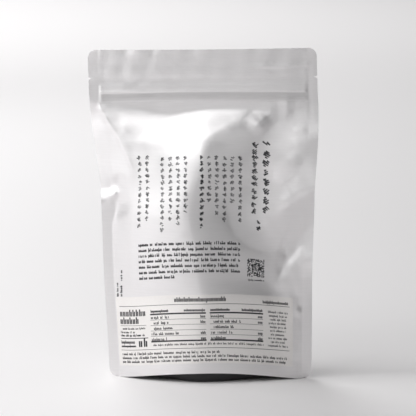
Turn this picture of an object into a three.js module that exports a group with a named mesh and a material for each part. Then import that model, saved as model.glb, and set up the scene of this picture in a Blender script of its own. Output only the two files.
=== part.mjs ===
// A sealed stand-up pouch of rice crackers: two welded film panels swollen by what they hold, a press-shut zip,
// a dark base gusset that it stands on, and a nutrition label stuck on its face. Millimetres, +Z up, the labelled
// face looks along -Y, and the origin is on the ground under the middle of the bounding box.
import * as THREE from "three";

// Flat film: the panels before the pouch is filled. A place on them is s across from the centre line, positive
// to the right of the labelled face, and t down from the top edge.
const film = {
  width: 140,
  height: 203, // top edge to the foot of the side seals
  weld: 0.8, // both panels welded together
  cornerRadius: 5,
};
const sideSeal = 6;
const panelHalf = film.width / 2 - sideSeal; // film from the centre line to a side seal

// Outline of the standing pouch: filling draws the sides in, and the mouth leans to the left.
const outline = {
  footHalf: 62.2,
  taper: 0.03, // sideways per mm of height
  flareFrom: 112, // heights between which it widens to the flat mouth
  flareTo: 170,
  leans: [
    { left: 1.5, from: 0, to: 75 },
    { left: 3.8, from: 108, to: 205 },
  ],
  skew: { high: 1, from: 95, to: 180 }, // the fold in the left side leaves the mouth higher at its right end
};

const tearNotch = { fromTop: 17.6, deep: 1.6, halfTall: 0.8 };
const zip = {
  tapeTop: 22.6, // distances from the top edge
  tapeFoot: 32.6,
  tapeProud: 0.4,
  ridges: [
    { fromTop: 26.6, proud: 0.55, half: 0.9 },
    { fromTop: 30.4, proud: 0.25, half: 0.8 },
  ],
};
const headerPuff = { from: 10, to: 21, proud: 0.5 };

// Where the film leaves the flat mouth and swells over the contents, as [s, t].
const shoulder = [
  [-70, 34.5],
  [-49, 33.5],
  [-37, 36.5],
  [-22, 40],
  [0, 36.5],
  [26, 36],
  [40, 39.5],
  [70, 36.5],
];
const shoulderSoft = 11;

// How far each panel stands out from the mid plane, with its tables as [t, value]. It is deepest on the crest and
// falls to both side seals as a rounded power of the way. Right of the crest most of the fall is done by the toe,
// and from there the film slopes gently to the seal. leftEdge is where the left side is tucked in.
const front = {
  side: -1,
  rise: 17,
  run: 24.5,
  spread: 0.02,
  crest: [
    [36, 29],
    [41, 26.5],
    [44.5, 17.5],
    [49, 10.5],
    [54, 5],
    [58, -2],
    [74, -4.5],
    [81, -6],
    [96, -10.5],
    [105, -11.5],
    [117, -9],
    [128, -6.5],
    [146, -5.5],
    [156, -3],
    [168, -4.5],
    [203, -8],
  ],
  toe: [[36, 57.5], [88, 31.5], [105, 31.5], [122, 43], [146, 46.5], [168, 57], [185, 63]],
  toeRest: [[36, 0.04], [120, 0.22], [165, 0.28], [203, 0.1]],
  power: [[36, 1.65], [60, 1.3], [90, 1.2], [130, 1.15], [170, 1.05], [203, 1.65]],
  powerLeft: [[36, 2.3], [60, 1.55], [90, 1.25], [130, 1.6], [170, 1.75], [203, 1.6]],
  round: [[36, 0.04], [60, 0.02], [90, 0.06], [110, 0.02], [165, 0.1], [203, 0.04]],
  leftEdge: [[87, -64], [95, -61], [100, -61.5], [109, -64]],
};
const back = {
  side: 1,
  rise: 20,
  run: 17,
  spread: 0.045,
  crest: [[36, 0], [203, 4]],
  toe: [[36, 64], [203, 64]],
  toeRest: [[36, 0], [203, 0]],
  power: [[36, 1.8], [203, 1.9]],
  powerLeft: [[36, 1.8], [203, 1.9]],
  round: [[36, 0.12], [203, 0.12]],
  leftEdge: [[36, -64], [203, -64]],
};
const toeKnee = 0.1;
const tuckReach = 14;

// The panels' feet arch up between the corners.
const skirtLift = { zip: 1.4, high: 3.9, run: 20, spread: 0.006, power: 1.3 };

// The mouth bows back at its ends. Each side seal is bent back by a slope that changes with t, and the bend
// starts reach inside the seal.
const mouthBow = { left: 4.5, right: 5.5, from: 112, to: 190 };
const sealTilt = {
  left: [[14, -0.06], [19, -0.1], [33, -0.1], [38, 0.7], [88, 0.3], [92, 0.05], [203, 0.2]],
  right: [[30, -0.05], [40, 0.05], [90, -0.05], [118, 0.1], [134, -0.15], [150, 0.35], [203, 0.35]],
  reach: 4,
};

// Creases, as lines of [s, t]. A ridge stands proud by high and a negative high is a valley. Left and right are
// how far it spreads to either side as one travels along the line. A list is spaced evenly along the line.
front.creases = [
  { line: [[-63, 37], [-54, 53.5], [-48.5, 68.5], [-44.5, 81]], high: [0.6, 0.5, 0.3, 0],
    left: [7.5, 19, 10], right: [3, 5.5, 5] },
  { line: [[-63, 78], [-57, 75.5], [-43, 81.5]], high: [0.45, 0.4, 0], left: [17, 6], right: [7.5, 6] },
  { line: [[-68, 92.5], [-64, 90.5], [-57, 88]], high: [0.4, 1.55, 0.1], left: [15, 6], right: [6, 2] },
  { line: [[40.5, 40.5], [36, 46], [27, 53.5]], high: [0.6, 1.3, 0.1], left: 5.5, right: 8.5 },
  { line: [[51.5, 26], [51, 36], [48, 46]], high: [0, 0.65, 0], left: 4.5, right: 5.5 },
  { line: [[73, 53], [57.5, 63], [39, 86.5]], high: [2.75, 3.6, 0.1], left: 28, right: 17 },
  { line: [[66.5, 63], [53.5, 78], [42.5, 93.5]], high: [-0.1, -0.5, 0], left: 9, right: 6 },
  { line: [[70.5, 83.5], [55, 91.5], [38.5, 105.5]], high: [4.3, 4, 2.95], left: 18, right: 24 },
  { line: [[66, 89], [56, 94], [44, 102]], high: [0.5, 0.6, 0], left: 7, right: 8 },
  { line: [[66, 111.5], [54.5, 125.5], [46.5, 141.5], [44, 147]],
    high: [-1.6, -2.1, -1, 0], left: [15.5, 10.5, 6, 5], right: [11.5, 4.5] },
  { line: [[67, 120], [58, 130], [50, 142.5]], high: [0.3, 0.6, 0.55], left: 8, right: 7.5 },
  { line: [[49, 144], [43, 151], [33, 154]], high: [0, -0.2, 0], left: 11, right: 14 },
  { line: [[61, 153], [64, 162.5]], high: [-0.35, -0.5, 0], left: 6, right: 7 },
  { line: [[60.5, 151.5], [61, 200]], high: -0.4, left: 7, right: 5.5 },
  { line: [[58, 166], [49, 178], [41, 191]], high: [-0.3, -0.35, -0.15], left: 12.5, right: 6 },
];
back.creases = [
  { line: [[63, 37], [47, 60], [36, 84]], high: [1, 1.5, 0], left: 14, right: 18 },
  { line: [[-20, 39], [-4, 54], [2, 83]], high: [0.4, 1.3, 0], left: 16, right: 20 },
  { line: [[-64, 55], [-52, 62], [-40, 72]], high: [1.2, 0.9, 0], left: 9, right: 14 },
  { line: [[-64, 96], [-54, 101], [-42, 109]], high: [1.3, 0.9, 0], left: 9, right: 14 },
  { line: [[64, 110], [54, 119], [45, 129]], high: [1.3, 1, 0], left: 14, right: 9 },
  { line: [[-64, 141], [-54, 146], [-42, 151]], high: [1.1, 0.8, 0], left: 9, right: 13 },
];
const creaseSoft = 0.15; // roundness of a crest, as a share of its narrower side
const creaseLift = 0.45; // nearer the seals than this a crease bends both panels instead of lifting one

const skirtSeal = 4.5; // how far the body's underside is recessed above the skirt's edge
const gusset = {
  reach: 55,
  gap: 0.3,
  clear: 0.5,
  rollWide: 5, // from skirt to ground in the middle
  groundHalf: 36, // it rests on the ground between these, and curves up towards the side seals beyond
  groundPower: 1.5,
  keelHalf: 0.6,
  keelRise: 2,
};
const label = { left: -63.4, right: 56.6, top: 153, foot: 195.6, gap: 0.3, thick: 0.3 };

const clamp = (v, low, high) => Math.min(high, Math.max(low, v));
const mix = (a, b, share) => a + (b - a) * share;
const ease = (from, to, v) => {
  const share = clamp((v - from) / (to - from), 0, 1);
  return share * share * (3 - 2 * share);
};
const steps = (from, to, count) => Array.from({ length: count + 1 }, (_, i) => mix(from, to, i / count));

// Value at v on a line of [v, value] points, averaged over soft to either side, which rounds its corners.
function along(points, v, soft = 0) {
  const straight = (w) => {
    const next = points.findIndex(([at]) => at > w);
    if (next === 0) return points[0][1];
    if (next < 0) return points.at(-1)[1];
    const [v0, a] = points[next - 1];
    const [v1, b] = points[next];
    return mix(a, b, (w - v0) / (v1 - v0));
  };
  const near = soft ? [-1, -0.5, 0, 0.5, 1].map((share) => straight(v + share * soft)) : [straight(v)];
  return near.reduce((sum, value) => sum + value, 0) / near.length;
}

// A number, or numbers spaced evenly along a line and eased from each to the next.
function spaced(held, travelled) {
  if (!Array.isArray(held)) return held;
  const at = travelled * (held.length - 1);
  const step = Math.min(Math.floor(at), held.length - 2);
  return mix(held[step], held[step + 1], ease(0, 1, at - step));
}

// A crease's height at a point: a round-crested tent about its line. Neighbouring stretches of the line are
// blended, and the spread turns from one side's to the other's round its ends.
function creaseHeight({ line, high, left, right }, s, t) {
  const runs = line.slice(1).map(([s1, t1], i) => {
    const from = line[i];
    return { from, ds: s1 - from[0], dt: t1 - from[1] };
  });
  const whole = runs.reduce((sum, { ds, dt }) => sum + Math.hypot(ds, dt), 0);
  let start = 0;
  const reaches = runs.map(({ from: [s0, t0], ds, dt }) => {
    const long = Math.hypot(ds, dt);
    const share = clamp(((s - s0) * ds + (t - t0) * dt) / (long * long), 0, 1);
    const away = Math.hypot(s - s0 - share * ds, t - t0 - share * dt);
    const turn = ((s - s0) * dt - (t - t0) * ds) / long / Math.max(away, 0.001);
    const travelled = (start + share * long) / whole;
    start += long;
    return { away, turn, travelled };
  });
  const nearest = Math.min(...reaches.map(({ away }) => away));
  const weights = reaches.map(({ away }) => Math.exp((nearest - away) / 1.2));
  const total = weights.reduce((sum, weight) => sum + weight, 0);
  const blend = (name) => reaches.reduce((sum, reach, i) => sum + (reach[name] * weights[i]) / total, 0);
  const travelled = blend("travelled");
  const [leftReach, rightReach] = [spaced(left, travelled), spaced(right, travelled)];
  const reach = mix(rightReach, leftReach, (1 + clamp(blend("turn"), -1, 1)) / 2);
  const crest = creaseSoft * Math.min(leftReach, rightReach);
  const distance = Math.hypot(nearest, crest) - crest;
  return spaced(high, travelled) * Math.max(1 - distance / reach, 0) ** 1.4;
}

const halfWidth = (up) => {
  const plain = outline.footHalf + outline.taper * up;
  return mix(plain, film.width / 2, ease(outline.flareFrom, outline.flareTo, up));
};
const leanAt = (up) => outline.leans.reduce((sum, { left, from, to }) => sum + left * ease(from, to, up), 0);

// Depth of the belly on its crest, at a place on the film.
function bellyDepth({ rise, run, spread }, s, t) {
  const below = Math.max(t - along(shoulder, s, 4), 0);
  const soft = (below * below) / (below + shoulderSoft);
  return rise * (1 - Math.exp(-soft / run)) + spread * soft;
}

// Share of that depth at a place across the panel: 1 on the crest and 0 at the seals.
function crossShare(shape, s, t) {
  const crest = along(shape.crest, t, 2);
  const edge = along(shape.leftEdge, t, 0.8);
  const place = s - (edge + panelHalf) * ease(edge + tuckReach, edge, s);
  const right = s > crest;
  const q = clamp((place - crest) / ((right ? panelHalf : -panelHalf) - crest), 0, 1);
  const toe = (along(shape.toe, t, 5) - crest) / (panelHalf - crest);
  const rest = right ? along(shape.toeRest, t, 5) : 0;
  const power = along(right ? shape.power : shape.powerLeft, t, 5);
  const round = along(shape.round, t, 5);
  const bent = (v) => 1 - toeKnee * Math.log1p(Math.exp((1 - v / toe) / toeKnee));
  const main = right ? clamp(bent(q) / bent(1), 0, 1) : q;
  const rounded = (v) => (v * v + round * round) ** (power / 2) - round ** power;
  return 1 - ((1 - rest) * rounded(main)) / rounded(1) - rest * q;
}

// How far the middle of a panel is drawn up.
function footLift(t) {
  const below = Math.max(t - 37, 0);
  const atZip = skirtLift.zip * ease(13, 32, t);
  return atZip + skirtLift.high * (1 - Math.exp(-below / skirtLift.run)) + skirtLift.spread * below;
}

// Film lies at s across and t down; the belly takes up more of it near the seals.
function acrossOf(s, depth) {
  const share = clamp(s / panelHalf, -1, 1);
  return share * (1 + 0.004 * depth * (1 - share * share));
}

const sealInset = (t) => {
  const fromEnd = Math.min(t, film.height - t);
  const r = film.cornerRadius;
  const corner = fromEnd < r ? r - Math.sqrt(Math.max(r * r - (r - fromEnd) ** 2, 0)) : 0;
  return corner + tearNotch.deep * Math.max(0, 1 - Math.abs(t - tearNotch.fromTop) / tearNotch.halfTall);
};

function zipRelief(t) {
  const onTape = ease(zip.tapeTop, zip.tapeTop + 1, t) - ease(zip.tapeFoot - 0.8, zip.tapeFoot, t);
  const ridges = zip.ridges.map(({ fromTop, proud, half }) => proud * ease(half, 0, Math.abs(t - fromTop)));
  return zip.tapeProud * onTape + ridges.reduce((sum, height) => sum + height, 0);
}

// Where the two panels would meet: bowed at the mouth and bent back along the side seals.
function midPlane(x, s, t, z) {
  const share = x / (film.width / 2);
  const bowed = ease(mouthBow.from, mouthBow.to, z) * share * share;
  const bow = (share < 0 ? mouthBow.left : mouthBow.right) * bowed;
  const beyond = Math.max(Math.abs(s) - panelHalf + sealTilt.reach, 0);
  const slope = s < 0 ? along(sealTilt.left, t, 3) : along(sealTilt.right, t, 5);
  return bow + (slope * beyond * beyond) / (beyond + 2.5);
}

// The place in space of a point of film, on one of the two panels.
function panelPoint(s, t, panel, proud = 0) {
  const up = film.height - t;
  const inner = halfWidth(up) - sideSeal;
  const depth = bellyDepth(panel, s, t);
  const across = acrossOf(s, depth);
  const inSeal = Math.max(Math.abs(s) - panelHalf, 0) / sideSeal;
  const x = -leanAt(up) + inner * across + Math.sign(s) * inSeal * (sideSeal - sealInset(t));
  const inside = 1 - across * across;
  const skew = outline.skew.high * across * ease(outline.skew.from, outline.skew.to, up);
  const z = up + skew + footLift(t) * inside ** skirtLift.power;
  const pocket = ease(0, 0.06, inside);
  const puff = ease(headerPuff.from, headerPuff.from + 4, t) * ease(headerPuff.to, headerPuff.to - 4, t);
  const creased = ({ creases }) => creases.reduce((sum, crease) => sum + creaseHeight(crease, s, t), 0);
  const slack = ease(0, 12, up);
  const bend = slack * creased(front);
  const lifted = ease(0, creaseLift, inside);
  let out = depth * crossShare(panel, s, t) + pocket * (zipRelief(t) + headerPuff.proud * puff);
  out += lifted * (panel === front ? bend : slack * creased(panel));
  const middle = midPlane(x, s, t, z) - bend * (1 - lifted);
  return new THREE.Vector3(x, middle + panel.side * (Math.max(out, 0) + film.weld / 2 + proud), z);
}

// Film stations: columns across and rows down, through the label's edges, the seals, the zip and the corners.
const inSealSteps = [0, 3];
const columns = [
  ...inSealSteps.map((v) => v - film.width / 2),
  -panelHalf,
  ...steps(label.left, label.right, 32),
  mix(label.right, panelHalf, 0.5),
  panelHalf,
  ...inSealSteps.map((v) => film.width / 2 - v).reverse(),
];
const cornerRows = [0, 0.3, 0.62, 1].map((v) => film.cornerRadius * (1 - Math.cos((v * Math.PI) / 2)));
const notchRows = [-1, 0, 1].map((v) => tearNotch.fromTop + v * tearNotch.halfTall);
const zipRows = [zip.tapeTop, 23.6, 25.7, 26.6, 27.5, 29.4, 30.4, 31.4, zip.tapeFoot];
const rows = [
  ...cornerRows,
  10,
  ...notchRows,
  ...zipRows,
  34.5,
  ...steps(37, 46, 4),
  ...steps(50, label.top, 22),
  ...steps(label.top, label.foot, 9).slice(1),
  ...cornerRows.map((v) => film.height - v).reverse(),
];

// Triangles of a grid of points, grid[row][column], seen from where rows run down and columns to the right.
function gridTriangles(grid, flip, triangles) {
  for (let j = 1; j < grid.length; j++)
    for (let i = 1; i < grid[j].length; i++) {
      const [a, b, c, d] = [grid[j - 1][i - 1], grid[j][i - 1], grid[j][i], grid[j - 1][i]];
      triangles.push(...(flip ? [a, c, b, a, d, c] : [a, b, c, a, c, d]));
    }
}

// A closed skin through a fore grid, a rear grid and, along their feet, an underside grid whose first row is
// the fore grid's foot and whose last row is the rear one's. Without one the two feet are joined directly.
function closedSkin(fore, rear, under) {
  const triangles = [];
  const last = fore.length - 1;
  const foot = under ?? [fore[last], rear[last]];
  gridTriangles(fore, false, triangles);
  gridTriangles(rear, true, triangles);
  gridTriangles([fore[0], rear[0]], true, triangles);
  gridTriangles(foot, false, triangles);
  for (const [column, flip] of [[0, false], [fore[0].length - 1, true]]) {
    for (let j = 1; j < last; j++) {
      const [a, b] = [fore[j - 1][column], rear[j - 1][column]];
      const [d, c] = [fore[j][column], rear[j][column]];
      triangles.push(...(flip ? [a, c, b, a, d, c] : [a, b, c, a, c, d]));
    }
    const rim = [rear[last - 1][column], ...foot.map((row) => row[column]).reverse()];
    for (let k = 1; k < rim.length; k++) {
      const [a, b, c] = [fore[last - 1][column], rim[k - 1], rim[k]];
      triangles.push(...(flip ? [a, c, b] : [a, b, c]));
    }
  }
  const points = [...new Set(triangles)];
  const numberOf = new Map(points.map((point, i) => [point, i]));
  const geometry = new THREE.BufferGeometry().setFromPoints(points);
  geometry.setIndex(triangles.map((point) => numberOf.get(point)));
  return geometry;
}

const panelGrid = (panel) => rows.map((t) => columns.map((s) => panelPoint(s, t, panel)));

// The body: its underside is a shallow recess behind the skirt, which the gusset fills.
const skirtOf = (s, panel) => panelPoint(s, film.height, panel);
const recessTop = (foreFoot, rearFoot) => {
  const open = ease(1, 8, rearFoot.y - foreFoot.y);
  return { z: (foreFoot.z + rearFoot.z) / 2 + skirtSeal * open, open };
};

function bodyGeometry() {
  const frontGrid = panelGrid(front);
  const backGrid = panelGrid(back);
  const evenly = [1 / 6, 2 / 6, 3 / 6, 4 / 6, 5 / 6];
  const under = evenly.map((share, k) =>
    columns.map((s, i) => {
      const a = frontGrid[rows.length - 1][i];
      const b = backGrid[rows.length - 1][i];
      const { z, open } = recessTop(a, b);
      const wall = film.weld / (b.y - a.y);
      const real = [wall, wall, 0.5, 1 - wall, 1 - wall][k];
      const outer = k === 0 || k === evenly.length - 1;
      return new THREE.Vector3(a.x, mix(a.y, b.y, mix(share, real, open)), outer ? a.z : z);
    }),
  );
  return closedSkin(frontGrid, backGrid, [frontGrid[rows.length - 1], ...under, backGrid[rows.length - 1]]);
}

// The gusset: film that rolls down from inside the skirt to a flat oval on the ground, and past the oval's ends
// to a narrow keel that curves up.
function gussetGeometry() {
  const roll = [0, 0.25, 0.5, 0.75, 1].map((v) => (v * Math.PI) / 2);
  const stations = columns.filter((s) => Math.abs(s) < gusset.reach);
  const sections = stations.map((s) => {
    const a = skirtOf(s, front);
    const b = skirtOf(s, back);
    const top = recessTop(a, b).z - gusset.gap;
    const inset = film.weld + gusset.clear;
    const middle = (a.y + b.y) / 2;
    const spread = Math.max(1 - (s / gusset.groundHalf) ** 2, 0) ** gusset.groundPower;
    const foot = gusset.keelRise * ease(gusset.groundHalf, gusset.reach + 4, Math.abs(s));
    const side = (skirt, sign) => {
      const from = skirt.y - sign * inset;
      const flat = Math.max(Math.abs(from - middle) - gusset.rollWide, gusset.keelHalf);
      const to = middle + sign * mix(gusset.keelHalf, flat, spread);
      const rolled = (angle) => [mix(from, to, 1 - Math.cos(angle)), mix(top, foot, Math.sin(angle))];
      return roll.map((angle) => new THREE.Vector3(skirt.x, ...rolled(angle)));
    };
    return { frontSide: side(a, -1), backSide: side(b, 1) };
  });
  const frontGrid = roll.map((_, k) => sections.map((section) => section.frontSide[k]));
  const backGrid = roll.map((_, k) => sections.map((section) => section.backSide[k]));
  return closedSkin(frontGrid, backGrid);
}

function labelGeometry() {
  const across = columns.filter((s) => s >= label.left && s <= label.right);
  const down = rows.filter((t) => t >= label.top && t <= label.foot);
  const skin = (proud) => down.map((t) => across.map((s) => panelPoint(s, t, front, proud)));
  return closedSkin(skin(label.gap + label.thick), skin(label.gap));
}

const silverFilm = new THREE.MeshStandardMaterial({ color: 0xd3d3d4, roughness: 0.38, metalness: 0.85 });
const darkFilm = new THREE.MeshStandardMaterial({ color: 0x232324, roughness: 0.45, metalness: 0.1 });
const labelPaper = new THREE.MeshStandardMaterial({ color: 0xefece6, roughness: 0.6, metalness: 0 });

function piece(name, geometry, material) {
  const mesh = new THREE.Mesh(geometry, material);
  mesh.name = name;
  geometry.computeVertexNormals();
  return mesh;
}

const pouch = new THREE.Group();
pouch.add(
  piece("pouch_body", bodyGeometry(), silverFilm),
  piece("base_gusset", gussetGeometry(), darkFilm),
  piece("label", labelGeometry(), labelPaper),
);
const box = new THREE.Box3().setFromObject(pouch);
pouch.position.set(-(box.min.x + box.max.x) / 2, -(box.min.y + box.max.y) / 2, 0);

export default pouch;
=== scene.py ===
# A shut stand-up snack pouch: matte silver film swollen by crackers, a gusset coloured near black as painted
# shade under its skirt, and a stuck-on label.
# Film places are in millimetres on the flat film: s runs across from its centre line, t down from its top.
import math

import bpy
import numpy as np
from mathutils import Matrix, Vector


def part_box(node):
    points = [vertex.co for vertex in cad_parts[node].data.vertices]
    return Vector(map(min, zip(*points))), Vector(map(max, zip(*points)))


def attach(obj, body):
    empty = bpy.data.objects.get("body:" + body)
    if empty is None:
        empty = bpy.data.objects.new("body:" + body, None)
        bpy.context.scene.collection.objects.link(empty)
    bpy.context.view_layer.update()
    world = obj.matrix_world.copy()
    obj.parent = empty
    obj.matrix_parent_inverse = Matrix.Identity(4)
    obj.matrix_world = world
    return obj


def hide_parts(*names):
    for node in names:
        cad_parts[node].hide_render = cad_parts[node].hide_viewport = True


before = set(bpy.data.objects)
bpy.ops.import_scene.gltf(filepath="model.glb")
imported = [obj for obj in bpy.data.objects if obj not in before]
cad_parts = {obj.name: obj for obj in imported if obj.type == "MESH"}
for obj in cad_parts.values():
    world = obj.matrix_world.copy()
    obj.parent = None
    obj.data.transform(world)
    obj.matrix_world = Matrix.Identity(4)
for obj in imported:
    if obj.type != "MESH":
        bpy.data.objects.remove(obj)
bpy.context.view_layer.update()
scene = bpy.context.scene
mm = 0.001

film = {  # the flat film, and the outline it takes once the pouch is full
    "width": 140.0, "height": 203.0, "sideSeal": 6.0, "weld": 0.5, "cornerRadius": 5.0,
    "notch": {"t": 17.6, "deep": 1.6, "half": 0.8},
    "footHalf": 62.2, "taper": 0.03, "flare": (112.0, 170.0),  # half width at the ground, growth, widening
    "push": 0.004,  # how much a full panel pushes its film towards the seals, for each mm of its depth
    "leans": ((1.5, 0.0, 75.0), (3.8, 108.0, 205.0)),  # each: how far left, between which heights
    "skew": (1.0, 95.0, 180.0),  # the mouth's right end is drawn up and its left end down
    "bow": {"left": 4.5, "right": 5.5, "low": 112.0, "high": 190.0},  # the mouth's ends bend back
    "lift": {  # how much higher the film stands between its seals: at the zip, and more below it
        "zip": 1.4, "zipSpan": (13, 32), "from": 37, "high": 3.9, "run": 20.0, "spread": 0.006, "power": 1.3,
    },
    "shoulder": (
        (-70, 34.5), (-49, 33.5), (-37, 36.5), (-22, 40), (0, 36.5), (26, 36), (40, 39.5), (70, 36.5),
    ),
    "shoulderBlend": 4, "shoulderSoft": 11,
}
panelHalf = film["width"] / 2 - film["sideSeal"]

sealEdge = {  # where film parts from its seals: values of 1 - q^2, with q the share of the way to the seal
    "pocket": 0.06, "puckers": 0.12, "creases": 0.45,
    "soft": 0.5, "softFrom": (40, 50), "softNear": (-48, -60),  # it parts gradually at the left
}

zipStrip = {
    "top": (19.6, 23.2), "foot": (31.0, 32.6), "proud": 0.26,
    "shade": {"top": (26.6, 27.4), "foot": (31.4, 33.4), "ends": (61.5, 63.5), "deep": 0.8},  # painted shade below the zip's ridge
    "ridges": ((26.0, 0.16, 1.5), (29.8, 0.06, 0.8)),  # each: t, how proud, half width
    "puff": {"top": 9.0, "foot": 18.5, "rim": 4.0, "proud": 0.12},  # the header above it stands off
}

sealTilt = {  # how steeply each side seal is bent back, against t, from just inside the seal outwards
    "left": ((14, -0.06), (19, -0.1), (33, -0.1), (40, 0.3), (88, 0.3), (92, 0.05), (203, 0.2)),
    "right": ((30, -0.05), (40, 0.05), (90, -0.05), (118, 0.1), (134, -0.15), (150, 0.35), (203, 0.35)),
    "leftBlend": 3, "rightBlend": 5, "reach": 4, "bend": 2.5,
}

creaseForm = {"soft": 0.15, "blend": 1.2, "power": 1.4, "fadeDown": (4, 14), "fadeUp": (0, 12)}
puckerForm = {"jitter": (0.2, 0.8), "slant": 0.25, "left": 2, "right": 3}

frontPanel = {
    "side": -1, "rise": 17, "run": 24.5, "spread": 0.02,
    "crest": (
        (36, 29), (41, 26.5), (44.5, 17.5), (49, 10.5), (54, 5), (58, -2), (74, -4.5), (81, -6), (96, -10.5),
        (105, -11.5), (117, -9), (128, -6.5), (146, -5.5), (156, -3), (168, -4.5), (203, -8),
    ),
    "toe": ((36, 57.5), (88, 31.5), (105, 31.5), (122, 43), (146, 46.5), (168, 57), (185, 63)),
    "toeRest": ((36, 0.04), (120, 0.22), (165, 0.28), (203, 0.1)),
    "power": ((36, 1.65), (60, 1.3), (90, 1.2), (130, 1.15), (170, 1.05), (203, 1.65)),
    "powerLeft": ((36, 2.3), (60, 1.55), (90, 1.25), (130, 1.6), (170, 1.75), (203, 1.6)),
    "round": ((36, 0.04), (60, 0.02), (90, 0.06), (110, 0.02), (165, 0.1), (203, 0.04)),
    "leftEdge": ((87, -64), (95, -61), (100, -61.5), (109, -64)),
    "creases": (
        # at the left: the ridge down from the zip's end, a swell beside it, the tuck, and the belly's slope
        {"line": ((-63, 37), (-54, 53.5), (-48.5, 68.5), (-44.5, 81)),
         "high": (0.6, 0.5, 0.3, 0), "left": (7.5, 19, 10), "right": (3, 5.5, 5)},
        {"line": ((-63, 78), (-57, 75.5), (-43, 81.5)),
         "high": (0.45, 0.4, 0), "left": (17, 6), "right": (7.5, 6)},
        {"line": ((-68, 92.5), (-64, 90.5), (-57, 88)),
         "high": (0.4, 1.55, 0.1), "left": (15, 6), "right": (6, 1.6)},
        {"line": ((-63, 37), (-54, 53.5), (-48.5, 68.5), (-44.5, 81)),
         "high": (0.3, 0.4, 0.25, 0), "left": 5, "right": 1.8},
        {"line": ((-60, 48.5), (-32, 47)), "high": (0.6, 0.35, 0.15, 0), "left": 12, "right": 20},
        {"line": ((-67, 86), (-58, 83), (-51, 81.5)), "high": (-0.5, -0.8, 0), "left": 6, "right": 5},
        {"line": ((-59, 108), (-48.5, 106.5)), "high": -0.12, "left": 3.5, "right": 4.5},
        {"line": ((-25.5, 41.5), (-30.5, 71), (-19, 87), (-12.5, 99)),
         "high": (0.02, 0.1, 0), "left": 14, "right": (16.5, 9.5), "soft": 0.2},
        # at the right: the shoulder, then the slack folds beside the belly, from the zip down to the foot
        {"line": ((40.5, 40.5), (36, 46), (27, 53.5)), "high": (0.6, 1.3, 0.1), "left": 5.5, "right": 8.5},
        {"line": ((51.5, 26), (51, 36), (48, 46)), "high": (0, 0.65, 0), "left": 4.5, "right": 5.5},
        {"line": ((55, 35), (66, 33.5)), "high": 0.1, "left": 3, "right": 2.5},
        {"line": ((73, 53), (57.5, 63), (39, 86.5)),
         "high": (2.75, 3.6, 0.1), "left": 28, "right": 17, "soft": 0.3},
        {"line": ((66.5, 63), (53.5, 78), (42.5, 93.5)), "high": (-0.1, -0.5, 0), "left": 9, "right": 6},
        {"line": ((70.5, 83.5), (55, 91.5), (38.5, 105.5)), "high": (4.3, 4, 2.95), "left": 18, "right": 24},
        {"line": ((66, 89), (56, 94), (44, 102)), "high": (0.5, 0.6, 0), "left": 7, "right": 8},
        {"line": ((66, 111.5), (54.5, 125.5), (46.5, 141.5), (44, 147)),
         "high": (-1.6, -2.1, -1, 0), "left": (15.5, 10.5, 6, 5), "right": (11.5, 4.5)},
        {"line": ((67, 120), (58, 130), (50, 142.5)), "high": (0.3, 0.6, 0.55), "left": 8, "right": 7.5},
        {"line": ((49, 144), (43, 151), (33, 154)), "high": (0, -0.2, 0), "left": 11, "right": 14},
        {"line": ((61, 153), (64, 162.5)), "high": (-0.35, -0.5, 0), "left": 6, "right": 7},
        {"line": ((60.5, 151.5), (61, 175), (61, 200)), "high": -0.4, "left": 7, "right": 5.5},
        {"line": ((58, 166), (49, 178), (41, 191)), "high": (-0.3, -0.35, -0.15), "left": 12.5, "right": 6},
        # fine level creases on the belly
        {"line": ((-24.5, 116), (-8, 117)), "high": (0, 0.12, 0), "left": 1.6, "right": 1.6},
        {"line": ((-25, 118), (-7.5, 119)), "high": (0, 0.14, 0), "left": 1.6, "right": 1.6},
        {"line": ((-12, 112), (-4, 113), (10, 111)), "high": (0, -0.16, 0), "left": 1.6, "right": 1.6},
        {"line": ((22, 86), (32, 85)), "high": (0, 0.08, 0), "left": 1.4, "right": 1.4},
        # in the header and along both seals beside the zip
        {"line": ((21, 10), (37, 10.5), (48.5, 11), (64, 10)),
         "high": (0, 0.4, 0.3), "left": 2.5, "right": 1.2},
        {"line": ((37, 9.5), (45, 6.5)), "high": (0.1, 0), "left": 1.6, "right": 1.6},
        {"line": ((-62.5, 22), (-64, 36)), "high": 0.16, "left": 0.9, "right": 0.9},
        {"line": ((65, 6), (64.8, 24), (64.5, 48)), "high": (-0.08, -0.2, 0), "left": 1.2, "right": 1.2},
    ),
    "puckers": {
        "seed": 5, "count": 18, "from": 48, "to": 196,
        "long": (5, 13), "high": (0.05, 0.15), "wide": (1.2, 2.6),
    },
}

backPanel = {
    "side": 1, "rise": 20.0, "run": 17.0, "spread": 0.045,
    "crest": ((36, 0), (203, 4)), "toe": ((36, 64), (203, 64)), "toeRest": ((36, 0), (203, 0)),
    "power": ((36, 1.8), (203, 1.9)), "powerLeft": ((36, 1.8), (203, 1.9)),
    "round": ((36, 0.12), (203, 0.12)), "leftEdge": ((36, -64), (203, -64)),
    "creases": (
        {"line": ((63, 37), (47, 60), (36, 84)), "high": (1.0, 1.5, 0), "left": 14, "right": 18},
        {"line": ((-20, 39), (-4, 54), (2, 83)), "high": (0.4, 1.3, 0), "left": 16, "right": 20},
        {"line": ((-64, 55), (-52, 62), (-40, 72)), "high": (1.2, 0.9, 0), "left": 9, "right": 14},
        {"line": ((-64, 96), (-54, 101), (-42, 109)), "high": (1.3, 0.9, 0), "left": 9, "right": 14},
        {"line": ((64, 110), (54, 119), (45, 129)), "high": (1.3, 1.0, 0), "left": 14, "right": 9},
        {"line": ((-64, 141), (-54, 146), (-42, 151)), "high": (1.1, 0.8, 0), "left": 9, "right": 13},
        {"line": ((30, 96), (44, 92)), "high": (0, -0.4, 0), "left": 6, "right": 6},
    ),
    "puckers": {
        "seed": 11, "count": 22, "from": 44, "to": 196,
        "long": (6, 16), "high": (0.08, 0.22), "wide": (1.4, 3.0),
    },
}

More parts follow.
